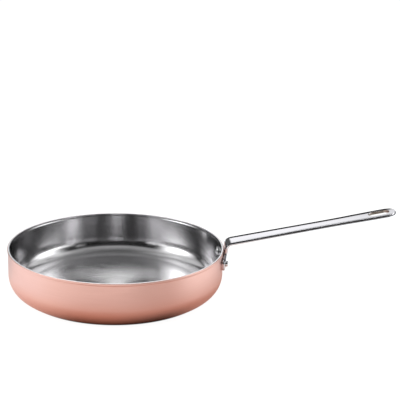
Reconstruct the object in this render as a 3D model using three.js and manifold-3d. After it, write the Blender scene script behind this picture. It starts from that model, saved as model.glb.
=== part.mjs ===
// Shallow straight-sided saute pan: a clad bowl (copper outside, aluminium core,
// stainless lining) with a long flat stainless handle held by two rivets.
// Units are millimetres. Origin: centre of the flat underside. +Z up, handle along +X.
import * as THREE from "three";
import { mergeVertices } from "three/addons/utils/BufferGeometryUtils.js";
import Module from "manifold-3d";

// ---- driving dimensions -------------------------------------------------
const RIM_HEIGHT = 56; // underside to the top of the rim
const WALL_RADIUS = 129.5; // outside of the upright wall
const LIP_RADIUS = 130; // outside of the small turned-out lip
const LIP_HEIGHT = 2.6; // how far the lip reaches down the wall
const CORNER_RADIUS = 24; // outside radius between base and wall
const COPPER_THICK = 0.6;
const CORE_THICK = 1.4;
const LINING_THICK = 0.5;
const BOND_GAP = 0.02; // between one layer and the next
const ROUND_STEPS = 72; // facets around the pan

const HANDLE_SLOPE = 11.5; // degrees above the horizontal
const HANDLE_THICK = 3.7;
const HANDLE_CROWN = 0.5; // how much higher the middle of the top face is than its edges
const HANDLE_EDGE = 1.3; // radius along the long edges
const HANDLE_TIP = 338.4; // from the pan's axis to the end of the handle
const TIP_RADIUS = 13.4; // round end, in plan
const NECK_HALF_WIDTH = 12.2;
const WAIST_HALF_WIDTH = 11.5; // slimmest part of the grip
const WAIST_AT = 255; // distance of that part from the axis
const BEND_RADIUS = 7.65; // middle of the plate, where the neck turns into the bar
const NECK_RADIUS = 133.25; // middle of the plate at the rim, clear of the lip
const BEND_BELOW_RIM = 0.66; // where the bend starts
const SLOT_FROM = 305.5; // hanging slot, measured along the horizontal
const SLOT_TO = 330.5;
const SLOT_WIDTH = 14.4;

const FOOT_GAP = 0.1; // between the foot and the wall
const FOOT_THICK = 3.7;
const FOOT_HALF_WIDTH = 31;
const FOOT_TOP = -8.8; // relative to the rim
const FOOT_BOTTOM = -21.2;
const FOOT_CORNER = 3.6;
const FOOT_FILLET = 3.5;

const RIVET_OUT = 23.5; // sideways from the handle's centre line
const RIVET_BELOW_RIM = 14;
const SHANK_RADIUS = 2.5;
const SHANK_HOLE = 2.65;
const INNER_HEAD_RADIUS = 5.3;
const INNER_HEAD_HEIGHT = 3.0;
const OUTER_HEAD_RADIUS = 3.5;
const OUTER_HEAD_HEIGHT = 3.3;

// ---- helpers ------------------------------------------------------------
const wasm = await Module();
wasm.setup();

function toSolid(geometry) {
  const bare = (geometry.index ? geometry.toNonIndexed() : geometry).clone();
  bare.deleteAttribute("normal");
  bare.deleteAttribute("uv");
  const merged = mergeVertices(bare, 1e-4);
  return new wasm.Manifold(
    new wasm.Mesh({
      numProp: 3,
      vertProperties: merged.attributes.position.array,
      triVerts: new Uint32Array(merged.index.array),
    }),
  );
}

function toGeometry(solid) {
  const m = solid.getMesh();
  const xyz = new Float32Array(m.numVert * 3);
  for (let i = 0; i < m.numVert; i++)
    xyz.set(m.vertProperties.subarray(i * m.numProp, i * m.numProp + 3), i * 3);
  const g = new THREE.BufferGeometry();
  g.setAttribute("position", new THREE.BufferAttribute(xyz, 3));
  g.setIndex(new THREE.BufferAttribute(new Uint32Array(m.triVerts), 1));
  g.computeVertexNormals();
  return g;
}

// A turned body about +Z from [radius, height] pairs that run up the outside.
function turned(pairs, steps) {
  const g = new THREE.LatheGeometry(
    pairs.map(([r, z]) => new THREE.Vector2(Math.max(r, 0), z)),
    steps,
  );
  g.rotateX(Math.PI / 2);
  return g;
}

// ---- clad pan body ------------------------------------------------------
// The pan's wall line, moved inwards by `inset` from the outside face, from the axis to the rim.
function wallLine(inset) {
  const line = [[0, inset]];
  const cx = WALL_RADIUS - CORNER_RADIUS;
  const r = CORNER_RADIUS - inset;
  const steps = 7;
  for (let i = 0; i <= steps; i++) {
    const a = (-Math.PI / 2) * (1 - i / steps);
    line.push([cx + r * Math.cos(a), CORNER_RADIUS + r * Math.sin(a)]);
  }
  const flare = LIP_RADIUS - WALL_RADIUS;
  line.push([WALL_RADIUS - inset, RIM_HEIGHT - LIP_HEIGHT]);
  line.push([WALL_RADIUS + flare * 0.8 - inset, RIM_HEIGHT - LIP_HEIGHT * 0.6]);
  return line;
}

function layer(outerInset, innerInset, outerEdge, innerEdge) {
  const outside = wallLine(outerInset);
  const inside = wallLine(innerInset).reverse();
  const top = [
    [LIP_RADIUS - outerInset, RIM_HEIGHT - Math.max(outerEdge, 0.01)],
    [LIP_RADIUS - outerInset - outerEdge, RIM_HEIGHT],
    [LIP_RADIUS - innerInset + innerEdge, RIM_HEIGHT],
    [LIP_RADIUS - innerInset, RIM_HEIGHT - Math.max(innerEdge, 0.01)],
  ];
  return toSolid(turned([...outside, ...top, ...inside], ROUND_STEPS));
}

const coreStart = COPPER_THICK + BOND_GAP;
const coreEnd = COPPER_THICK + CORE_THICK - BOND_GAP;
const liningStart = COPPER_THICK + CORE_THICK;
const wallThick = COPPER_THICK + CORE_THICK + LINING_THICK;

let copper = layer(0, COPPER_THICK, 0.3, 0);
let core = layer(coreStart, coreEnd, 0, 0);
let lining = layer(liningStart, wallThick, 0, 0.25);

// ---- rivets -------------------------------------------------------------
const rivetTurn = Math.asin(RIVET_OUT / (WALL_RADIUS + FOOT_THICK));
const rivetHeight = RIM_HEIGHT - RIVET_BELOW_RIM;
const innerSeat = (WALL_RADIUS - wallThick) * Math.cos(0.045) - 0.15;
const outerSeat = WALL_RADIUS + FOOT_GAP + FOOT_THICK + 0.1;

// Places a body that was turned about +Z so that its axis runs outwards at `turn`.
function radial(geometry, turn) {
  return geometry
    .rotateY(Math.PI / 2)
    .rotateZ(turn)
    .translate(0, 0, rivetHeight);
}

function rivetProfile() {
  const p = [[0, innerSeat - INNER_HEAD_HEIGHT]];
  for (const a of [0.3, 0.52, 0.72, 0.88, 1])
    p.push([
      INNER_HEAD_RADIUS * a,
      innerSeat - 0.5 - (INNER_HEAD_HEIGHT - 0.5) * Math.sqrt(1 - a * a),
    ]);
  p.push([INNER_HEAD_RADIUS, innerSeat]);
  p.push([SHANK_RADIUS, innerSeat]);
  p.push([SHANK_RADIUS, outerSeat]);
  p.push([OUTER_HEAD_RADIUS, outerSeat]);
  p.push([OUTER_HEAD_RADIUS, outerSeat + OUTER_HEAD_HEIGHT * 0.55]);
  p.push([OUTER_HEAD_RADIUS * 0.93, outerSeat + OUTER_HEAD_HEIGHT * 0.78]);
  p.push([OUTER_HEAD_RADIUS * 0.72, outerSeat + OUTER_HEAD_HEIGHT * 0.93]);
  p.push([OUTER_HEAD_RADIUS * 0.38, outerSeat + OUTER_HEAD_HEIGHT * 0.99]);
  p.push([0, outerSeat + OUTER_HEAD_HEIGHT]);
  return p;
}

const rivet = (turn) => radial(turned(rivetProfile(), 24), turn);
const shankHole = (turn) =>
  toSolid(
    radial(
      new THREE.CylinderGeometry(SHANK_HOLE, SHANK_HOLE, 40, 24)
        .rotateX(Math.PI / 2)
        .translate(0, 0, WALL_RADIUS),
      turn,
    ),
  );

const holes = [-rivetTurn, rivetTurn].map(shankHole);
for (const hole of holes) {
  copper = copper.subtract(hole);
  core = core.subtract(hole);
  lining = lining.subtract(hole);
}

// ---- handle -------------------------------------------------------------
const slope = THREE.MathUtils.degToRad(HANDLE_SLOPE);
const footMiddle = WALL_RADIUS + FOOT_GAP + FOOT_THICK / 2;

// Middle line of the plate as stations {x, z, tilt, half, wrap, crowned}: x outwards, z from
// the rim, tilt the direction of travel, half the half width, wrap how far it follows the
// round wall, crowned how much of the crown the top face has there.
const stations = [];
const ease = (t) => t * t * (3 - 2 * t);
const clamp01 = (t) => Math.min(1, Math.max(0, t));

function gripHalfWidth(x) {
  const full = TIP_RADIUS;
  if (x < WAIST_AT) {
    const t = clamp01((x - 140) / (WAIST_AT - 140));
    return THREE.MathUtils.lerp(NECK_HALF_WIDTH, WAIST_HALF_WIDTH, ease(t));
  }
  const t = clamp01((x - WAIST_AT) / (HANDLE_TIP - TIP_RADIUS - 4 - WAIST_AT));
  return THREE.MathUtils.lerp(WAIST_HALF_WIDTH, full, ease(t));
}

for (const z of [-20, -16, -12.5, -10, -8, -6, -4, -2]) {
  const t = ease(clamp01((z + 12.5) / 11.5));
  const next = ease(clamp01((z + 0.01 + 12.5) / 11.5));
  const x = THREE.MathUtils.lerp(footMiddle, NECK_RADIUS, t);
  const dx = (THREE.MathUtils.lerp(footMiddle, NECK_RADIUS, next) - x) / 0.01;
  stations.push({
    x,
    z,
    tilt: Math.atan2(1, dx),
    half: NECK_HALF_WIDTH,
    wrap: 1 - ease(clamp01((z + 13) / 13)),
    crowned: 0,
  });
}
const bendCentre = { x: NECK_RADIUS + BEND_RADIUS, z: -BEND_BELOW_RIM };
const bendSteps = 8;
for (let i = 0; i <= bendSteps; i++) {
  const tilt = THREE.MathUtils.lerp(Math.PI / 2, slope, i / bendSteps);
  stations.push({
    x: bendCentre.x - BEND_RADIUS * Math.sin(tilt),
    z: bendCentre.z + BEND_RADIUS * Math.cos(tilt),
    tilt,
    half: NECK_HALF_WIDTH,
    wrap: 0,
    crowned: i / bendSteps,
  });
}
const barStart = stations[stations.length - 1];
const onBar = (x) => barStart.z + (x - barStart.x) * Math.tan(slope);
const roundFrom = HANDLE_TIP - TIP_RADIUS * Math.cos(slope);
for (const x of [150, 170, 190, 210, 230, 255, 275, 290, 302, 314, roundFrom])
  stations.push({
    x,
    z: onBar(x),
    tilt: slope,
    half: gripHalfWidth(x),
    wrap: 0,
    crowned: 1,
  });
for (const a of [18, 35, 50, 62, 72, 80, 85, 88.5]) {
  const r = THREE.MathUtils.degToRad(a);
  const x = roundFrom + TIP_RADIUS * Math.cos(slope) * Math.sin(r);
  stations.push({
    x,
    z: onBar(x),
    tilt: slope,
    half: TIP_RADIUS * Math.cos(r),
    wrap: 0,
    crowned: 1,
  });
}

// Section of the plate, once around: sideways and through its thickness.
function section(half, crowned) {
  const e = Math.min(HANDLE_EDGE, half * 0.45);
  const h = HANDLE_THICK / 2;
  const crown = HANDLE_CROWN * crowned * Math.min(1, half / NECK_HALF_WIDTH);
  const top = h - crown;
  const k = 1 - Math.SQRT1_2;
  const quarter = [
    [half, 0],
    [half, top - e],
    [half - e * k, top - e * k],
    [half - e, top],
    [half * 0.5, top + crown * 0.75],
    [0, h],
  ];
  const upper = [
    ...quarter,
    ...quarter.slice(0, 5).reverse().map(([a, b]) => [-a, b]),
  ];
  const lowerQuarter = [
    [half, -h + e],
    [half - e * k, -h + e * k],
    [half - e, -h],
    [half * 0.5, -h],
    [0, -h],
  ];
  const lower = [
    ...lowerQuarter.map(([a, b]) => [-a, b]),
    ...lowerQuarter.slice(0, 4).reverse(),
  ];
  return [...upper, ...lower];
}

function bentPlate() {
  const around = 20;
  const g = new THREE.CylinderGeometry(1, 1, 1, around, stations.length - 1);
  const p = g.attributes.position;
  for (let i = 0; i < p.count; i++) {
    const ring = Math.round((p.getY(i) + 0.5) * (stations.length - 1));
    const s = stations[ring];
    const radius = Math.hypot(p.getX(i), p.getZ(i));
    let side = 0;
    let through = 0;
    if (radius > 0.5) {
      const turn = Math.atan2(p.getX(i), p.getZ(i));
      const index =
        ((Math.round((turn / (2 * Math.PI)) * around) % around) + around) %
        around;
      [side, through] = section(s.half, s.crowned)[index];
    }
    // through > 0 is the top of the bar, which becomes the wall side of the neck
    const wrapped =
      footMiddle - Math.sqrt(footMiddle * footMiddle - side * side);
    p.setXYZ(
      i,
      s.x - through * Math.sin(s.tilt) - s.wrap * wrapped,
      side,
      RIM_HEIGHT + s.z + through * Math.cos(s.tilt),
    );
  }
  return g;
}

function footOutline() {
  const s = new THREE.Shape();
  const n = NECK_HALF_WIDTH - 0.15;
  const w = FOOT_HALF_WIDTH;
  const c = FOOT_CORNER;
  const f = FOOT_FILLET;
  const inset = 9;
  s.moveTo(-w + c, FOOT_BOTTOM);
  s.lineTo(w - c, FOOT_BOTTOM);
  s.absarc(w - c, FOOT_BOTTOM + c, c, -Math.PI / 2, 0, false);
  s.lineTo(w, FOOT_TOP - c);
  s.absarc(w - c, FOOT_TOP - c, c, 0, Math.PI / 2, false);
  s.lineTo(n + f, FOOT_TOP);
  s.absarc(n + f, FOOT_TOP + f, f, -Math.PI / 2, -Math.PI, true);
  s.lineTo(inset, FOOT_TOP + f);
  s.lineTo(-inset, FOOT_TOP + f);
  s.lineTo(-n, FOOT_TOP + f);
  s.absarc(-n - f, FOOT_TOP + f, f, 0, -Math.PI / 2, true);
  s.lineTo(-w + c, FOOT_TOP);
  s.absarc(-w + c, FOOT_TOP - c, c, Math.PI / 2, Math.PI, false);
  s.lineTo(-w, FOOT_BOTTOM + c);
  s.absarc(-w + c, FOOT_BOTTOM + c, c, Math.PI, Math.PI * 1.5, false);
  return s;
}

function foot() {
  const inner = WALL_RADIUS + FOOT_GAP;
  const outer = inner + FOOT_THICK;
  const low = RIM_HEIGHT - 30;
  const high = RIM_HEIGHT + 5;
  const ring = turned(
    [
      [inner, low],
      [outer, low],
      [outer, high],
      [inner, high],
      [inner, low],
    ],
    ROUND_STEPS,
  );
  // the outline stands in the YZ plane, and reaches through the wall along X
  const outline = new THREE.ExtrudeGeometry(footOutline(), {
    depth: 30,
    bevelEnabled: false,
    curveSegments: 6,
  })
    .rotateX(Math.PI / 2)
    .rotateZ(Math.PI / 2)
    .translate(115, 0, RIM_HEIGHT);
  return toSolid(ring).intersect(toSolid(outline));
}

function slotCutter() {
  const half = SLOT_WIDTH / 2;
  const length = (SLOT_TO - SLOT_FROM) / Math.cos(slope);
  const s = new THREE.Shape();
  s.moveTo(half, -half);
  s.lineTo(length - half, -half);
  s.absarc(length - half, 0, half, -Math.PI / 2, Math.PI / 2, false);
  s.lineTo(half, half);
  s.absarc(half, 0, half, Math.PI / 2, Math.PI * 1.5, false);
  const g = new THREE.ExtrudeGeometry(s, {
    depth: 20,
    bevelEnabled: false,
    curveSegments: 8,
  });
  return toSolid(
    g
      .translate(0, 0, -10)
      .rotateY(-slope)
      .translate(SLOT_FROM, 0, RIM_HEIGHT + onBar(SLOT_FROM)),
  );
}

let handle = toSolid(bentPlate()).add(foot()).subtract(slotCutter());
for (const hole of holes) handle = handle.subtract(hole);

// ---- assembly -----------------------------------------------------------
const pan = new THREE.Group();
pan.name = "saute_pan";

function piece(name, geometry, color, roughness, parent = pan) {
  const mesh = new THREE.Mesh(
    geometry,
    new THREE.MeshStandardMaterial({ color, roughness, metalness: 1 }),
  );
  mesh.name = name;
  parent.add(mesh);
  return mesh;
}

const body = new THREE.Group();
pan.add(body);
piece("copper_shell", toGeometry(copper), 0xd9a08c, 0.3, body);
piece("aluminium_core", toGeometry(core), 0xc9cbd0, 0.45, body);
piece("steel_lining", toGeometry(lining), 0xb9b9b7, 0.35, body);

const grip = new THREE.Group();
pan.add(grip);
piece("handle", toGeometry(handle), 0xdcdce2, 0.12, grip);
piece("rivet_near", rivet(-rivetTurn), 0xcfcfd2, 0.18, grip);
piece("rivet_far", rivet(rivetTurn), 0xcfcfd2, 0.18, grip);

export default pan;
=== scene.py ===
"""Copper saute pan with a long polished handle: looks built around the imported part. Metres, +Z up, handle along +X."""

import math

import bpy
import numpy as np
from mathutils import Matrix, Vector
from mathutils.geometry import delaunay_2d_cdt


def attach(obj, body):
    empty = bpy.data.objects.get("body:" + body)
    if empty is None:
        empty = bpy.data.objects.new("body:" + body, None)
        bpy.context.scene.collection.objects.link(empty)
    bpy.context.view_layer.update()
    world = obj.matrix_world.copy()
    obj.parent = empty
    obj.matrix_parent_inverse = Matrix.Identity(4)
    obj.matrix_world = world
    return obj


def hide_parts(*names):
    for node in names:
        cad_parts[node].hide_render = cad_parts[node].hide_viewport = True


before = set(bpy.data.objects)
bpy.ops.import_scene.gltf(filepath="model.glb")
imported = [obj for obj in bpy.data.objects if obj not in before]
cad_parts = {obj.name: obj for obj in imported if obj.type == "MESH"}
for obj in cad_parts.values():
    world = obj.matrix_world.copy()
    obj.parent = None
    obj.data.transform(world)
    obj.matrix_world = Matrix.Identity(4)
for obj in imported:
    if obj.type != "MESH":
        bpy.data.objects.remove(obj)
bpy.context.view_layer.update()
MM = 0.001

# ---- dimensions in millimetres, as in the part --------------------------------------------
RIM = 56.0
WALL = 129.5
LIP = 130.0
CORNER = 24.0
COPPER, CORE, LINING, BOND = 0.6, 1.4, 0.5, 0.02
TURN_STEPS = 288

THICK = 3.7
CROWN = 0.5
SLOPE = math.radians(11.5)
TIP = 338.4
TIP_R = 13.4
NECK_HALF, WAIST_HALF, WAIST_AT = 12.2, 11.5, 255.0
BEND_R = 7.65
NECK_X = 133.25
BEND_BELOW = 0.66
SLOT_FROM, SLOT_TO, SLOT_W = 305.5, 330.5, 14.4
FOOT_MID = WALL + 0.1 + THICK / 2
FOOT_HALF, FOOT_TOP, FOOT_BOTTOM = 31.0, -8.8, -21.2
FOOT_CORNER, FOOT_FILLET = 3.6, 3.5
RIVET_OUT, RIVET_BELOW = 23.5, 14.0
RIVET_TURN = math.asin(RIVET_OUT / (WALL + THICK))
HOLE_R = 2.65
INNER_SEAT = (WALL - COPPER - CORE - LINING) * math.cos(0.045) - 0.12
OUTER_SEAT = WALL + 0.1 + THICK + 0.06


def ease(t):
    t = np.clip(t, 0.0, 1.0)
    return t * t * (3 - 2 * t)


# ---- mesh helpers -------------------------------------------------------------------------
def new_object(name, verts, faces, sharp=32.0):
    mesh = bpy.data.meshes.new(name)
    mesh.from_pydata([tuple(v) for v in np.asarray(verts) * MM], [], faces)
    mesh.validate()
    mesh.update()
    mesh.shade_smooth()
    mesh.set_sharp_from_angle(angle=math.radians(sharp))
    obj = bpy.data.objects.new(name, mesh)
    bpy.context.scene.collection.objects.link(obj)
    return obj


def lathe(profile, steps):
    """Closed body turned about Z. The profile is (radius, height) pairs and starts and ends on the axis."""
    inner = profile[1:-1]
    a = np.arange(steps) * 2 * math.pi / steps
    ring = np.stack([np.cos(a), np.sin(a)], 1)
    verts = [[0, 0, profile[0][1]]]
    for r, z in inner:
        verts += np.column_stack([ring * r, np.full(steps, z)]).tolist()
    verts.append([0, 0, profile[-1][1]])
    top = len(verts) - 1
    faces = []
    for j in range(steps):
        k = (j + 1) % steps
        faces.append((0, 1 + k, 1 + j))
        for i in range(len(inner) - 1):
            p, q = 1 + i * steps, 1 + (i + 1) * steps
            faces.append((p + j, p + k, q + k, q + j))
        p = 1 + (len(inner) - 1) * steps
        faces.append((p + j, p + k, top))
    return np.array(verts), faces


def radial(verts, turn, height):
    """Moves a body turned about Z so that its axis runs outwards at the given turn and height."""
    m = Matrix.Rotation(turn, 3, "Z") @ Matrix.Rotation(math.pi / 2, 3, "Y")
    return verts @ np.array(m).T + np.array([0, 0, height])


# ---- clad pan -----------------------------------------------------------------------------
def wall_line(inset):
    """Wall face set in from the outside by `inset`, from the axis to just under the rim."""
    line = [(r, inset) for r in (0.0, 16.0, 34.0, 52.0, 70.0, 86.0, 98.0)]
    cx, r = WALL - CORNER, CORNER - inset
    for a in np.linspace(-math.pi / 2, 0, 25):
        line.append((cx + r * math.cos(a), CORNER + r * math.sin(a)))
    for z in np.linspace(CORNER + 2, 52.6, 18):
        line.append((WALL - inset, z))
    for t in np.linspace(0.0, 1.0, 8)[1:]:
        line.append((WALL - inset + (LIP - WALL) * float(ease(t)), 52.6 + 1.5 * t))
    return line


def rounded(cx, cz, r, a0, a1, steps=6):
    return [(cx + r * math.cos(a), cz + r * math.sin(a)) for a in np.linspace(a0, a1, steps)]


def layer(name, out_inset, in_inset, out_edge, in_edge):
    ro, ri = LIP - out_inset, LIP - in_inset
    top = rounded(ro - out_edge, RIM - out_edge, out_edge, 0, math.pi / 2)
    top += rounded(ri + in_edge, RIM - in_edge, in_edge, math.pi / 2, math.pi)
    verts, faces = lathe(wall_line(out_inset) + top + wall_line(in_inset)[::-1], TURN_STEPS)
    obj = new_object(name, verts, faces)
    for side in (-1, 1):
        drill, drill_faces = lathe([(0, 110.0), (HOLE_R, 110.0), (HOLE_R, 150.0), (0, 150.0)], 48)
        cutter = new_object(name + "_drill", radial(drill, side * RIVET_TURN, RIM - RIVET_BELOW), drill_faces)
        cut = obj.modifiers.new("hole", "BOOLEAN")
        cut.operation, cut.solver, cut.object = "DIFFERENCE", "EXACT", cutter
        bpy.context.view_layer.update()
        done = bpy.data.meshes.new_from_object(obj.evaluated_get(bpy.context.evaluated_depsgraph_get()))
        obj.modifiers.clear()
        old, obj.data = obj.data, done
        bpy.data.meshes.remove(old)
        bpy.data.objects.remove(cutter)
    obj.data.name = name
    obj.data.materials.clear()
    obj.data.shade_smooth()
    obj.data.set_sharp_from_angle(angle=math.radians(32))
    return obj


copper = layer("pan_copper_skin", 0.0, COPPER, 0.42, 0.02)
core = layer("pan_core", COPPER + BOND, COPPER + CORE - BOND, 0.02, 0.02)
lining = layer("pan_steel_lining", COPPER + CORE, COPPER + CORE + LINING, 0.02, 0.32)


# ---- handle -------------------------------------------------------------------------------
def handle_path():
    """Middle line of the plate, from the bottom of the foot to the tip: arrays s, x, z (from the rim) and tilt."""
    z = np.arange(FOOT_BOTTOM, -BEND_BELOW, 0.02)
    t = (z + 12.5) / 11.5
    x = FOOT_MID + (NECK_X - FOOT_MID) * ease(t)
    dx = np.gradient(x, z)
    tilt = np.arctan2(1.0, dx)
    bend = np.linspace(math.pi / 2, SLOPE, 400)
    bx = NECK_X + BEND_R - BEND_R * np.sin(bend)
    bz = -BEND_BELOW + BEND_R * np.cos(bend)
    run = np.arange(bx[-1] + 0.1, TIP + 0.05, 0.1)
    run = np.append(run[run < TIP - 0.01], TIP)
    rz = bz[-1] + (run - bx[-1]) * math.tan(SLOPE)
    x, z = np.concatenate([x, bx, run]), np.concatenate([z, bz, rz])
    tilt = np.concatenate([tilt, bend, np.full(len(run), SLOPE)])
    s = np.concatenate([[0], np.cumsum(np.hypot(np.diff(x), np.diff(z)))])
    return s, x, z, tilt


PS, PX, PZ, PT = handle_path()
S_TIP = PS[-1]
S_FOOT_TOP = float(np.interp(FOOT_TOP, PZ, PS))
S_BEND0 = float(np.interp(-BEND_BELOW, PZ, PS))
S_BEND1 = S_BEND0 + BEND_R * (math.pi / 2 - SLOPE)


def half_width(s):
    x = np.where(s < S_BEND1, 140.0, np.interp(s, PS, PX))
    near = NECK_HALF + (WAIST_HALF - NECK_HALF) * ease((x - 140) / (WAIST_AT - 140))
    far = WAIST_HALF + (TIP_R - WAIST_HALF) * ease((x - WAIST_AT) / (TIP - TIP_R - 4 - WAIST_AT))
    return np.where(x < WAIST_AT, near, far)


def middle(s, w):
    """Point of the plate's middle surface, its two tangents and its normal on the top side."""
    x, z, tilt = np.interp(s, PS, PX), np.interp(s, PS, PZ), np.interp(s, PS, PT)
    hug = lambda h: 1 - ease((h + 13) / 13)
    sag = FOOT_MID - np.sqrt(FOOT_MID**2 - w * w)
    slope_w = w / np.sqrt(FOOT_MID**2 - w * w)
    k = hug(z)
    dk = (hug(z + 0.01) - hug(z - 0.01)) / 0.02 * np.sin(tilt)
    p = np.stack([x - k * sag, w, RIM + z], 1)
    ts = np.stack([np.cos(tilt) - dk * sag, 0 * s, np.sin(tilt)], 1)
    tw = np.stack([-k * slope_w, 1 + 0 * s, 0 * s], 1)
    n = np.cross(ts, tw)
    return p, ts, tw, n / np.linalg.norm(n, axis=1)[:, None]


def top_height(s, w):
    crown = CROWN * ease((s - S_BEND0) / (S_BEND1 - S_BEND0))
    return THICK / 2 - crown * np.clip(np.abs(w) / half_width(s), 0, 1) ** 2


def top_normal(s, w):
    e = 0.02
    f = lambda a, b: (lambda m: m[0] + top_height(a, b)[:, None] * m[3])(middle(a, b))
    n = np.cross(f(s + e, w) - f(s - e, w), f(s, w + e) - f(s, w - e))
    return n / np.linalg.norm(n, axis=1)[:, None]


def arc(cs, cw, r, a0, a1, steps):
    a = np.radians(np.linspace(a0, a1, steps))
    return np.stack([cs + r * np.cos(a), cw + r * np.sin(a)], 1)


def line(a, b, gap):
    n = max(2, int(math.hypot(b[0] - a[0], b[1] - a[1]) / gap) + 1)
    return np.linspace(a, b, n)


def dedupe(points, closed=True):
    keep = [points[0]]
    for p in points[1:]:
        if np.hypot(*(p - keep[-1])) > 1e-4:
            keep.append(p)
    if closed and np.hypot(*(keep[0] - keep[-1])) < 1e-4:
        keep.pop()
    return np.array(keep)


def handle_outline():
    c, f, w, t = FOOT_CORNER, FOOT_FILLET, FOOT_HALF, S_FOOT_TOP
    parts = [
        line((0, 0), (0, w - c), 1.0),
        arc(c, w - c, c, 180, 90, 12),
        line((c, w), (t - c, w), 0.8),
        arc(t - c, w - c, c, 90, 0, 12),
        line((t, w - c), (t, NECK_HALF + f), 0.9),
        arc(t + f, NECK_HALF + f, f, 180, 270, 12),
    ]
    s0, s1 = t + f, S_TIP - TIP_R
    s = np.concatenate([np.arange(s0, S_BEND1 + 3, 0.45), np.arange(S_BEND1 + 4, s1 - 0.5, 1.5), [s1]])
    parts.append(np.stack([s, half_width(s)], 1))
    parts.append(arc(s1, 0, TIP_R, 90, 0, 30))
    upper = dedupe(np.concatenate(parts), closed=False)
    lower = upper[::-1][1:-1] * np.array([1, -1])
    return np.concatenate([upper, lower])


def slot_outline():
    r = SLOT_W / 2
    a = float(np.interp(SLOT_FROM, PX[PS > S_BEND1], PS[PS > S_BEND1])) + r
    b = float(np.interp(SLOT_TO, PX[PS > S_BEND1], PS[PS > S_BEND1])) - r
    return dedupe(
        np.concatenate([line((a, -r), (b, -r), 0.9), arc(b, 0, r, -90, 90, 26), line((b, r), (a, r), 0.9), arc(a, 0, r, 90, 270, 26)])
    )


def hole_outline(side):
    s = float(np.interp(-RIVET_BELOW, PZ, PS))
    return dedupe(arc(s, side * FOOT_MID * math.sin(RIVET_TURN), HOLE_R, 0, 360, 33))


def inside(points, loop):
    """Even-odd test of points against a closed loop."""
    x, y = points[:, 0][:, None], points[:, 1][:, None]
    a, b = loop, np.roll(loop, -1, axis=0)
    crosses = (a[:, 1] > y) != (b[:, 1] > y)
    with np.errstate(divide="ignore", invalid="ignore"):
        at = (b[:, 0] - a[:, 0]) * (y - a[:, 1]) / (b[:, 1] - a[:, 1]) + a[:, 0]
    return (np.sum(crosses & (x < at), axis=1) % 2) == 1


def plain_edge(r, steps):
    """Square edge of the plate with both corners rounded: rows of inset, height from the face, share of top, angle."""
    rows = [(max(r, 0.3), 0.0, 1.0, 90.0)]
    for a in np.linspace(90, 0, steps + 1)[1:]:
        rows.append((r * (1 - math.cos(math.radians(a))), -r * (1 - math.sin(math.radians(a))), 1.0, a))
    return rows + [(i, -h, 0.0, -a) for i, h, _, a in rows[::-1]]


def bar_edge():
    """Outer edge of the bar: a crisp corner on top, a bulged flank below it and a soft lower corner."""
    big, fine, low, start = 5.3, 0.16, 0.8, 27.0
    cos, sin = (lambda a: math.cos(math.radians(a))), (lambda a: math.sin(math.radians(a)))
    reach = big * (1 - cos(start)) + fine * cos(start)
    rows = [(1.35, 0.0, 1.0, 90.0)]
    for a in (90.0, 75.0, 60.0, 45.0, start):
        rows.append((reach - fine * cos(a), -fine * (1 - sin(a)), 1.0, a))
    top = -fine * (1 - sin(start))
    for a in np.linspace(start, 0, 9)[1:]:
        share = sin(a) / sin(start)
        rows.append((big * (1 - cos(a)), share * top + (1 - share) * low, share, a))
    for a in (-12.0, -26.0, -42.0, -58.0, -74.0, -90.0):
        rows.append((low * (1 - cos(a)), low * (1 + sin(a)), 0.0, a))
    return rows + [(1.35, 0.0, 0.0, -90.0)]


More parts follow.
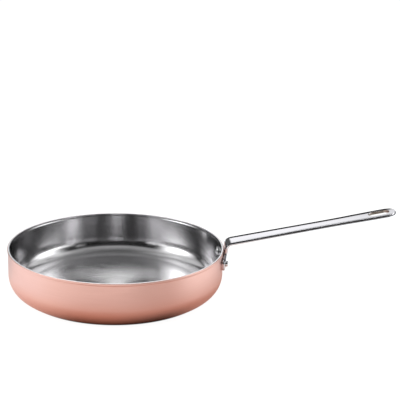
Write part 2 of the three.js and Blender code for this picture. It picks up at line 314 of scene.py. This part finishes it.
def build_handle():
    loops = [
        (handle_outline(), bar_edge()),
        (slot_outline(), plain_edge(0.22, 4)),
        (hole_outline(-1), plain_edge(0.15, 2)),
        (hole_outline(1), plain_edge(0.15, 2)),
    ]
    verts, normals, faces = [], [], []
    rim_points, rim_top, rim_bottom, rim_edges = [], [], [], []
    count = 0
    for points, profile in loops:
        d = np.roll(points, -1, axis=0) - np.roll(points, 1, axis=0)
        out = np.stack([-d[:, 1], d[:, 0]], 1)
        out /= np.linalg.norm(out, axis=1)[:, None]
        n = len(points)
        rings = []
        r_in = profile[0][0]
        for inset, lift, share, angle in profile:
            a = math.radians(abs(angle))
            q = points - out * inset
            p, ts, tw, nm = middle(q[:, 0], q[:, 1])
            edge = ts * out[:, :1] + tw * out[:, 1:]
            edge /= np.linalg.norm(edge, axis=1)[:, None]
            face = top_normal(q[:, 0], q[:, 1]) if angle > 0 else -nm
            h = lift + share * top_height(q[:, 0], q[:, 1]) - (1 - share) * THICK / 2
            rings.append((p + h[:, None] * nm, edge * math.cos(a) + face * math.sin(a)))
        first = count
        for p, nn in rings:
            verts.append(p)
            normals.append(nn)
            count += n
        i = np.arange(n)
        j = (i + 1) % n
        for k in range(len(rings) - 1):
            a, b = first + k * n, first + (k + 1) * n
            faces += np.stack([a + i, a + j, b + j, b + i], 1).tolist()
        start = sum(len(x) for x in rim_points)
        rim_points.append(points - out * r_in)
        rim_top.append(first + i)
        rim_bottom.append(first + (len(rings) - 1) * n + i)
        rim_edges += np.stack([start + i, start + j], 1).tolist()
    rim = np.concatenate(rim_points)
    rim_top, rim_bottom = np.concatenate(rim_top), np.concatenate(rim_bottom)

    # points between the edges: close together where the plate bends, wider apart along the bar
    s = np.concatenate(
        [np.arange(1.0, S_BEND0 - 1, 0.8), np.arange(S_BEND0 - 0.6, S_BEND1 + 1, 0.32), np.arange(S_BEND1 + 1.4, S_BEND1 + 8, 1.0), np.arange(S_BEND1 + 9, S_TIP - 1, 1.7)]
    )
    ss, ww = np.meshgrid(s, np.arange(-30.0, 30.1, 1.25), indexing="ij")
    grid = np.stack([ss.ravel(), ww.ravel()], 1)
    keep = inside(grid, rim_points[0])
    for loop in rim_points[1:]:
        keep &= ~inside(grid, loop)
    grid = grid[keep]
    near = np.array([np.min(np.hypot(*(rim - g).T)) for g in grid])
    grid = grid[near > 0.42]
    points = np.concatenate([rim, grid])
    out_points, _, triangles, origin, _, _ = delaunay_2d_cdt([Vector(p) for p in points.tolist()], rim_edges, [], 0, 1e-5)
    if len(out_points) != len(points):
        raise RuntimeError("the handle's outline crosses itself")
    order = np.array([o[0] for o in origin])
    triangles = order[np.array(triangles)]
    middles = points[triangles].mean(axis=1)
    keep = inside(middles, rim_points[0])
    for loop in rim_points[1:]:
        keep &= ~inside(middles, loop)
    triangles = triangles[keep]
    a, b, c = (points[triangles[:, k]] for k in range(3))
    turn = (b[:, 0] - a[:, 0]) * (c[:, 1] - a[:, 1]) - (b[:, 1] - a[:, 1]) * (c[:, 0] - a[:, 0])
    triangles[turn < 0] = triangles[turn < 0][:, ::-1]

    p, _, _, nm = middle(grid[:, 0], grid[:, 1])
    verts.append(p + top_height(grid[:, 0], grid[:, 1])[:, None] * nm)
    normals.append(top_normal(grid[:, 0], grid[:, 1]))
    verts.append(p - THICK / 2 * nm)
    normals.append(-nm)
    top_index = np.concatenate([rim_top, count + np.arange(len(grid))])
    bottom_index = np.concatenate([rim_bottom, count + len(grid) + np.arange(len(grid))])
    faces += top_index[triangles].tolist()
    faces += bottom_index[triangles][:, ::-1].tolist()

    obj = new_object("handle_plate", np.concatenate(verts), faces, sharp=180)
    normals = np.concatenate(normals)
    if len(obj.data.vertices) == len(normals):
        obj.data.normals_split_custom_set_from_vertices([tuple(n) for n in normals])
    return obj


handle = build_handle()


# ---- rivets -------------------------------------------------------------------------------
def rivet(name, side):
    r, h = 5.3, 3.0
    profile = [(0.0, INNER_SEAT - h)]
    for a in np.linspace(0, math.pi / 2, 18)[1:]:
        profile.append((r * math.sin(a), INNER_SEAT - 0.55 - (h - 0.55) * math.cos(a)))
    profile += rounded(r - 0.16, INNER_SEAT - 0.16, 0.16, 0, math.pi / 2, 4)
    shank = 2.5
    profile += [(shank, INNER_SEAT), (shank, OUTER_SEAT)]
    r, h, e = 3.45, 3.3, 0.95
    profile += rounded(r - 0.15, OUTER_SEAT + 0.15, 0.15, -math.pi / 2, 0, 4)
    for a in np.linspace(0, math.pi / 2, 9):
        profile.append((r - e + e * math.cos(a), OUTER_SEAT + h - 0.18 - e + e * math.sin(a)))
    profile += [((r - e) * 0.6, OUTER_SEAT + h - 0.05), ((r - e) * 0.25, OUTER_SEAT + h)]
    profile.append((0.0, OUTER_SEAT + h))
    verts, faces = lathe(profile, 64)
    return new_object(name, radial(verts, side * RIVET_TURN, RIM - RIVET_BELOW), faces, sharp=38)


rivet_near = rivet("rivet_near_side", -1)
rivet_far = rivet("rivet_far_side", 1)


# ---- materials ----------------------------------------------------------------------------
class Tree:
    """Small helper around a node tree: every call adds a node and gives back a socket."""

    def __init__(self, tree):
        self.tree = tree
        tree.nodes.clear()

    def node(self, kind, **settings):
        n = self.tree.nodes.new(kind)
        for k, v in settings.items():
            setattr(n, k, v)
        return n

    def put(self, socket, value):
        if isinstance(value, bpy.types.NodeSocket):
            self.tree.links.new(value, socket)
        else:
            socket.default_value = value

    def math(self, op, a, b=0.0, c=0.0, clamp=False):
        n = self.node("ShaderNodeMath", operation=op, use_clamp=clamp)
        for i, v in enumerate((a, b, c)):
            self.put(n.inputs[i], v)
        return n.outputs[0]

    def vmath(self, op, a, b=(0, 0, 0)):
        n = self.node("ShaderNodeVectorMath", operation=op)
        self.put(n.inputs[0], a)
        self.put(n.inputs[1], b)
        return n.outputs["Value"] if op in ("DOT_PRODUCT", "LENGTH", "DISTANCE") else n.outputs[0]

    def split(self, v):
        n = self.node("ShaderNodeSeparateXYZ")
        self.put(n.inputs[0], v)
        return n.outputs

    def join(self, x, y, z):
        n = self.node("ShaderNodeCombineXYZ")
        for i, v in enumerate((x, y, z)):
            self.put(n.inputs[i], v)
        return n.outputs[0]

    def noise(self, v, scale=1.0, detail=3.0, rough=0.5):
        n = self.node("ShaderNodeTexNoise", noise_dimensions="3D")
        self.put(n.inputs["Vector"], v)
        n.inputs["Scale"].default_value = scale
        n.inputs["Detail"].default_value = detail
        n.inputs["Roughness"].default_value = rough
        return n.outputs["Fac"]

    def step(self, v, lo, hi, a=0.0, b=1.0):
        n = self.node("ShaderNodeMapRange", interpolation_type="SMOOTHSTEP", clamp=True)
        for i, x in enumerate((v, lo, hi, a, b)):
            self.put(n.inputs[i], x)
        return n.outputs[0]

    def mix(self, f, a, b, blend="MIX"):
        n = self.node("ShaderNodeMix", data_type="RGBA", blend_type=blend)
        self.put(n.inputs["Factor"], f)
        for name, v in (("A", a), ("B", b)):
            socket = [s for s in n.inputs if s.name == name and s.type == "RGBA"][0]
            self.put(socket, v if isinstance(v, bpy.types.NodeSocket) else (*v, 1.0))
        return [s for s in n.outputs if s.type == "RGBA"][0]

    def mix_value(self, up, past, a, b):
        """a outside a zone and b inside it; `up` is 1 from the zone's start on and `past` 1 from its end on."""
        return self.math("MULTIPLY_ADD", self.math("SUBTRACT", up, past), b - a, a)

    def grey(self, v):
        n = self.node("ShaderNodeCombineColor")
        for i in range(3):
            self.put(n.inputs[i], v)
        return n.outputs[0]

    def bump(self, height, strength, distance):
        n = self.node("ShaderNodeBump")
        n.inputs["Strength"].default_value = strength
        n.inputs["Distance"].default_value = distance
        self.put(n.inputs["Height"], height)
        return n.outputs[0]


def metal(name, build, anisotropic=0.0, turn=0.0, tangent=None):
    m = bpy.data.materials.new(name)
    m.use_nodes = True
    t = Tree(m.node_tree)
    out = t.node("ShaderNodeOutputMaterial")
    bsdf = t.node("ShaderNodeBsdfPrincipled")
    bsdf.inputs["Metallic"].default_value = 1.0
    bsdf.inputs["Anisotropic"].default_value = anisotropic
    bsdf.inputs["Anisotropic Rotation"].default_value = turn
    if tangent:
        way = t.node("ShaderNodeTangent", direction_type="RADIAL", axis=tangent)
        t.put(bsdf.inputs["Tangent"], way.outputs[0])
    where = t.node("ShaderNodeTexCoord").outputs["Object"]
    color, roughness, normal = build(t, where)
    t.put(bsdf.inputs["Base Color"], color)
    t.put(bsdf.inputs["Roughness"], roughness)
    if normal is not None:
        t.put(bsdf.inputs["Normal"], normal)
    t.put(out.inputs["Surface"], bsdf.outputs[0])
    return m


def turned_grain(t, where, fine, drift=24.0):
    """Streaks that run round the Z axis on walls, corners and floors alike."""
    x, y, z = t.split(where)
    r = t.vmath("LENGTH", t.join(x, y, 0.0))
    along = t.math("MULTIPLY", t.math("SUBTRACT", r, z), fine)
    return t.join(t.math("MULTIPLY", x, drift), t.math("MULTIPLY", y, drift), along), r, z


def copper_look(t, where):
    v, r, z = turned_grain(t, where, 2600.0)
    grain = t.noise(v, 1.0, 3.0, 0.6)
    cloud = t.noise(where, 11.0, 2.0, 0.5)
    # base colour darker and redder towards the foot, paler towards the rim: partly painted shade standing in for the
    # darker floor the lower wall reflects, partly the copper's own tone
    high = t.step(z, 0.001, 0.037)
    color = t.mix(high, (0.83, 0.365, 0.255), (0.865, 0.548, 0.487))
    color = t.mix(t.math("MULTIPLY", t.step(cloud, 0.35, 0.7), 0.35), color, (0.90, 0.60, 0.54))
    color = t.mix(t.math("MULTIPLY_ADD", grain, 0.5, -0.13, clamp=True), color, (0.70, 0.42, 0.34))
    rough = t.math("MULTIPLY_ADD", t.math("SUBTRACT", grain, 0.5), 0.16, 0.36)
    rough = t.math("MULTIPLY_ADD", t.math("SUBTRACT", cloud, 0.5), 0.10, rough)
    return color, rough, t.bump(grain, 0.06, 0.0001)


def lining_look(t, where):
    v, r, z = turned_grain(t, where, 2500.0, 34.0)
    grain = t.noise(v, 1.0, 4.0, 0.65)
    v2, _, _ = turned_grain(t, where, 420.0, 3.5)
    band = t.noise(v2, 1.0, 2.0, 0.5)
    cloud = t.noise(where, 17.0, 2.0, 0.5)
    color = t.mix(t.step(grain, 0.3, 0.72), (0.67, 0.664, 0.675), (0.81, 0.803, 0.815))
    color = t.mix(t.math("MULTIPLY", t.step(band, 0.35, 0.7), 0.22), color, (0.68, 0.674, 0.686))
    # the floor and lower corner of the lining are mixed halfway to near white, lighter than the wall: partly painted
    # light, partly the floor's own lighter tone
    color = t.mix(t.step(z, 0.003, 0.012, 0.50, 0.0), color, (0.95, 0.945, 0.955))
    rough = t.math("MULTIPLY_ADD", t.math("SUBTRACT", grain, 0.5), 0.09, t.mix_value(t.step(z, 0.0035, 0.009), t.step(z, 0.017, 0.026), 0.165, 0.135))
    rough = t.math("MULTIPLY_ADD", t.math("SUBTRACT", cloud, 0.5), 0.08, rough)
    return color, rough, t.bump(t.math("MULTIPLY_ADD", band, 0.25, grain), 0.05, 0.0001)


def core_look(t, where):
    v, r, z = turned_grain(t, where, 3000.0)
    grain = t.noise(v, 1.0, 3.0, 0.6)
    color = t.mix(grain, (0.74, 0.75, 0.78), (0.90, 0.91, 0.93))
    return color, t.math("MULTIPLY_ADD", grain, 0.15, 0.18), t.bump(grain, 0.08, 0.0001)


def polished_look(t, where):
    x, y, z = t.split(where)
    lines = t.noise(t.join(t.math("MULTIPLY", x, 22.0), t.math("MULTIPLY", y, 1500.0), t.math("MULTIPLY", z, 60.0)), 1.0, 3.0, 0.6)
    smudge = t.noise(where, 34.0, 3.0, 0.55)
    color = t.mix(t.step(smudge, 0.3, 0.75), (0.685, 0.68, 0.71), (0.725, 0.72, 0.752))
    rough = t.math("MULTIPLY_ADD", lines, 0.05, 0.03)
    rough = t.math("MULTIPLY_ADD", t.step(smudge, 0.45, 0.8), 0.04, rough)
    # the wall of the hanging slot is punched and left duller than the faces; its dark brown colour is painted shade
    # inside the slot
    r = SLOT_W / 2 * MM
    along = t.math("MINIMUM", t.math("MAXIMUM", x, SLOT_FROM * MM + r), SLOT_TO * MM - r)
    off = t.vmath("LENGTH", t.join(t.math("SUBTRACT", x, along), y, 0.0))
    cut = t.step(off, r + 0.00004, r + 0.00022, 1.0, 0.0)
    color = t.mix(cut, color, t.mix(lines, (0.24, 0.195, 0.165), (0.35, 0.29, 0.25)))
    rough = t.math("MULTIPLY_ADD", cut, 0.26, rough)
    return color, rough, t.bump(lines, 0.018, 0.0001)


def rivet_look(t, where):
    fine = t.noise(where, 900.0, 3.0, 0.6)
    smudge = t.noise(where, 160.0, 2.0, 0.5)
    color = t.mix(smudge, (0.70, 0.70, 0.71), (0.86, 0.86, 0.87))
    rough = t.math("MULTIPLY_ADD", fine, 0.07, 0.05)
    return color, rough, t.bump(fine, 0.03, 0.0001)


COPPER_MAT = metal("satin_copper", copper_look, 0.35, 0.25, "Z")
LINING_MAT = metal("brushed_lining", lining_look, 1.0, 0.25, "Z")
CORE_MAT = metal("core_edge", core_look)
HANDLE_MAT = metal("polished_steel", polished_look)
RIVET_MAT = metal("rivet_steel", rivet_look)

for obj, node, slot, material in (
    (copper, "copper_shell", "copper", COPPER_MAT),
    (core, "aluminium_core", "core", CORE_MAT),
    (lining, "steel_lining", "lining", LINING_MAT),
    (handle, "handle", "handle", HANDLE_MAT),
    (rivet_near, "rivet_near", "rivets", RIVET_MAT),
    (rivet_far, "rivet_far", "rivets", RIVET_MAT),
):
    obj.data.materials.append(material)
    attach(obj, "root")
    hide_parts(node)


# ---- floor --------------------------------------------------------------------------------
def floor_look():
    m = bpy.data.materials.new("studio_floor")
    m.use_nodes = True
    t = Tree(m.node_tree)
    out = t.node("ShaderNodeOutputMaterial")
    where = t.node("ShaderNodeTexCoord").outputs["Object"]
    cloud = t.noise(where, 3.0, 2.0, 0.5)
    color = t.mix(cloud, (0.13, 0.13, 0.13), (0.15, 0.15, 0.15))
    diffuse = t.node("ShaderNodeBsdfDiffuse")
    t.put(diffuse.inputs["Color"], color)
    r = t.vmath("LENGTH", where)
    x, y, _ = t.split(where)
    east, north = t.math("DIVIDE", x, r), t.math("DIVIDE", y, r)
    # what reflections see of the floor: painted shadow near the pan, nearly black right under it, with pink and brown
    # tints as painted light bounced off the copper, shifted differently to the left and right
    turned = t.math("MULTIPLY_ADD", east, t.step(east, 0.55, 0.95, 1.05, 0.0), t.step(east, -0.85, -0.35, -0.95, 0.0))
    reach = t.math("MULTIPLY_ADD", turned, -0.026, r)
    close = t.math("MULTIPLY_ADD", t.math("MAXIMUM", turned, 0.0), -0.018, r)
    left, right = t.step(east, -0.95, -0.25, 1.0, 0.0), t.step(east, 0.45, 0.95)
    low = t.mix(left, (0.010, 0.004, 0.002), (0.62, 0.50, 0.48))
    low = t.mix(right, low, (0.46, 0.36, 0.33))
    near = t.mix(t.step(close, 0.1085, 0.147), low, t.mix(left, (0.47, 0.28, 0.22), (0.70, 0.58, 0.55)))
    # painted light and shade further out: the floor glows brighter to the left and right of the pan and darker and
    # bluer behind it
    side = t.math("MULTIPLY", t.step(t.math("ABSOLUTE", east), 0.70, 0.97), t.step(t.math("ADD", north, t.step(x, -0.05, 0.05, 0.12, 0.0)), -0.03, 0.42, 1.0, 0.0))
    far = t.mix(t.step(north, -0.10, 0.45), (1.01, 0.968, 0.935), (0.62, 0.68, 0.72))
    far = t.mix(side, far, t.mix(t.step(x, -0.05, 0.05), (1.10, 1.14, 1.17), (1.36, 1.44, 1.45)))
    shade = t.mix(t.step(reach, 0.125, 0.300), near, far)
    # what the camera sees of the floor: a near-black disc under the pan, whose edge shows as a thin dark line, is a
    # painted contact shadow; out to 19 cm the floor is painted slightly darker, a painted shade
    seen_floor_shadowed = t.mix(t.step(r, 0.1112, 0.1134), (0.012, 0.004, 0.004), (0.965, 0.964, 0.963))
    seen_floor_shadowed = t.mix(t.step(r, 0.115, 0.190), seen_floor_shadowed, (0.985, 0.985, 0.985))
    # the floor glows: camera rays get the floor with its painted shadow, other rays the graded painted shade and light
    seen = t.node("ShaderNodeLightPath").outputs["Is Camera Ray"]
    glow = t.node("ShaderNodeEmission")
    t.put(glow.inputs["Color"], t.mix(seen, shade, seen_floor_shadowed))
    both = t.node("ShaderNodeAddShader")
    t.put(both.inputs[0], diffuse.outputs[0])
    t.put(both.inputs[1], glow.outputs[0])
    t.put(out.inputs["Surface"], both.outputs[0])
    return m


bpy.ops.mesh.primitive_circle_add(vertices=128, radius=1.3, fill_type="TRIFAN", location=(0, 0, -0.00005))
floor = bpy.context.object
floor.name = "studio_floor"
floor.data.materials.append(floor_look())


def flag():
    """Dark card on the floor in front of the handle, out of the picture: it only shows as a reflection."""
    m = bpy.data.materials.new("studio_flag")
    m.use_nodes = True
    t = Tree(m.node_tree)
    out = t.node("ShaderNodeOutputMaterial")
    x, y, _ = t.split(t.node("ShaderNodeTexCoord").outputs["Object"])
    a = t.math("ARCTAN2", y, x)
    cover = t.math("MULTIPLY", t.step(a, math.radians(-84), math.radians(-62)), t.step(a, math.radians(-36), math.radians(-22), 1.0, 0.0))
    cover = t.math("MULTIPLY", cover, t.step(t.vmath("LENGTH", t.join(x, y, 0.0)), 0.29, 0.39))
    card = t.node("ShaderNodeEmission")
    t.put(card.inputs["Color"], t.mix(t.noise(t.join(x, y, 0.0), 9.0, 2.0, 0.5), (0.17, 0.155, 0.14), (0.24, 0.22, 0.20)))
    clear = t.node("ShaderNodeBsdfTransparent")
    both = t.node("ShaderNodeMixShader")
    t.put(both.inputs[0], cover)
    t.put(both.inputs[1], clear.outputs[0])
    t.put(both.inputs[2], card.outputs[0])
    t.put(out.inputs["Surface"], both.outputs[0])
    bpy.ops.mesh.primitive_circle_add(vertices=96, radius=0.9, fill_type="TRIFAN", location=(0, 0, 0.00002))
    obj = bpy.context.object
    obj.name = "studio_flag"
    obj.data.materials.append(m)
    obj.visible_camera = obj.visible_diffuse = obj.visible_shadow = False
    obj.visible_transmission = obj.visible_volume_scatter = False


flag()


# ---- studio light -------------------------------------------------------------------------
def studio_world():
    w = bpy.data.worlds.new("studio")
    w.use_nodes = True
    bpy.context.scene.world = w
    t = Tree(w.node_tree)
    out = t.node("ShaderNodeOutputWorld")
    way = t.vmath("NORMALIZE", t.node("ShaderNodeTexCoord").outputs["Generated"])
    x, y, z = t.split(way)
    height = t.math("ARCSINE", z)

    def window(v, lo, hi, soft_lo, soft_hi):
        rad = math.radians
        up = t.step(v, rad(lo - soft_lo), rad(lo + soft_lo))
        down = t.step(v, rad(hi - soft_hi), rad(hi + soft_hi), 1.0, 0.0)
        return t.math("MULTIPLY", up, down)

    def around(lo, hi, soft_lo, soft_hi):
        """Window in azimuth, degrees counter-clockwise from the handle."""
        mid, half = math.radians((lo + hi) / 2), (hi - lo) / 2
        ahead = t.math("MULTIPLY_ADD", x, math.cos(mid), t.math("MULTIPLY", y, math.sin(mid)))
        side = t.math("MULTIPLY_ADD", y, math.cos(mid), t.math("MULTIPLY", x, -math.sin(mid)))
        return window(t.math("ARCTAN2", side, ahead), -half, half, soft_lo, soft_hi)

    light = t.math("MULTIPLY_ADD", window(height, 66, 130, 10, 1), 0.09, 0.014)
    for strength, az, az_soft, el, el_soft in (
        (0.45, (156, 387), (6, 18), (48, 66), (4.3, 19)),  # soft light in front, above the camera
        (0.12, (250, 290), (2, 2), (8, 15), (2.2, 4)),  # low strip in front
        (0.20, (118, 160), (8, 8), (0, 12), (1, 3)),  # low card behind on the left
        (0.10, (97, 122), (3, 8), (0, 40), (1, 8)),  # its spill
        (0.62, (311, 322), (4, 4), (25, 31), (1.5, 2)),  # narrow light in front on the right
        (4.33, (180, 206), (20, 19), (11.3, 39), (1.4, 22)),  # soft box on the left
        (1.60, (213, 236), (3.7, 3.7), (10.3, 16.7), (2.6, 2.7)),  # its foot
        (0.67, (138, 168), (3.7, 12), (24, 66), (5.2, 19)),  # its wing
        (2.92, (351, 379), (18, 20), (12, 38.5), (1.2, 24)),  # soft box on the right
        (2.50, (327, 354), (10, 8.6), (12, 18), (1.3, 2.1)),  # its foot
        (0.89, (31, 44), (13, 5.4), (23, 55), (5.4, 18)),  # its wing
        (2.50, (79, 105), (9, 9), (30, 50), (1.2, 3.3)),  # soft box behind
        (2.50, (70, 114), (16, 16), (37, 55), (1.8, 4)),  # its upper half, wider
    ):
        patch = t.math("MULTIPLY", around(*az, *az_soft), window(height, *el, *el_soft))
        light = t.math("MULTIPLY_ADD", patch, strength, light)
    # white wall under that soft box, its lower edge sloping down to the left
    lean = t.math("MULTIPLY_ADD", x, -0.23, z)
    wall = t.math("MULTIPLY", t.step(lean, 0.262, 0.276), window(height, 0, 28, 1, 2))
    light = t.math("MULTIPLY_ADD", t.math("MULTIPLY", around(79.5, 98.5, 10.5, 5), wall), 1.26, light)
    color = t.mix(1.0, t.grey(light), (0.992, 0.995, 1.0), "MULTIPLY")
    seen = t.node("ShaderNodeBackground")
    seen.inputs["Color"].default_value = (1.0, 1.0, 1.0, 1.0)
    seen.inputs["Strength"].default_value = 1.05
    lit = t.node("ShaderNodeBackground")
    t.put(lit.inputs["Color"], color)
    pick = t.node("ShaderNodeMixShader")
    t.put(pick.inputs[0], t.node("ShaderNodeLightPath").outputs["Is Camera Ray"])
    t.put(pick.inputs[1], lit.outputs[0])
    t.put(pick.inputs[2], seen.outputs[0])
    t.put(out.inputs["Surface"], pick.outputs[0])


studio_world()


def overhead(size, height, power):
    lamp = bpy.data.lights.new("floor_fill", "AREA")
    lamp.shape, lamp.size, lamp.energy = "DISK", size, power
    obj = bpy.data.objects.new("floor_fill", lamp)
    obj.location = (0.1, 0.0, height)
    obj.visible_glossy = False
    obj.visible_camera = False
    bpy.context.scene.collection.objects.link(obj)


overhead(4.0, 2.6, 60.0)


HANDLE_ONLY = bpy.data.collections.new("handle_only")
HANDLE_ONLY.objects.link(handle)


def handle_light(name, place, wide, tall, power):
    """Soft light for the polished handle alone."""
    lamp = bpy.data.lights.new(name, "AREA")
    lamp.shape, lamp.size, lamp.size_y, lamp.energy = "RECTANGLE", wide, tall, power
    obj = bpy.data.objects.new(name, lamp)
    obj.location = place
    obj.rotation_euler = (Vector((0.23, 0.0, 0.08)) - Vector(place)).to_track_quat("-Z", "Y").to_euler()
    obj.visible_camera = False
    obj.light_linking.receiver_collection = HANDLE_ONLY
    bpy.context.scene.collection.objects.link(obj)


handle_light("handle_light_front", (1.20, -0.90, 0.78), 0.62, 0.56, 0.55)
handle_light("handle_light_back", (-0.91, 0.96, 0.29), 0.95, 0.36, 0.45)


# ---- camera -------------------------------------------------------------------------------
def place_camera():
    e, roll, phi = math.radians(16.515), math.radians(-1.69), math.radians(3.2)
    focal, dist, tx, ty = 990.1, 1200.0, -99.63, -57.44
    d = Vector((0, math.cos(e), -math.sin(e)))
    r = Vector((1, 0, 0))
    u = r.cross(d)
    place = -tx * r - ty * u - dist * d + Vector((0, 0, RIM))
    right = math.cos(roll) * r - math.sin(roll) * u
    up = math.sin(roll) * r + math.cos(roll) * u
    m = Matrix((right, up, -d)).transposed()
    back = Matrix.Rotation(-phi, 3, "Z")
    cam = bpy.data.cameras.new("camera")
    cam.sensor_width = 36.0
    cam.lens = 36.0 * focal / 400.0
    cam.clip_start, cam.clip_end = 0.05, 100.0
    obj = bpy.data.objects.new("camera", cam)
    obj.matrix_world = Matrix.Translation(back @ (place * MM)) @ (back @ m).to_4x4()
    bpy.context.scene.collection.objects.link(obj)
    bpy.context.scene.camera = obj


place_camera()
scene = bpy.context.scene
scene.view_settings.view_transform = "Standard"
scene.view_settings.look = "None"
scene.view_settings.exposure = 0.0
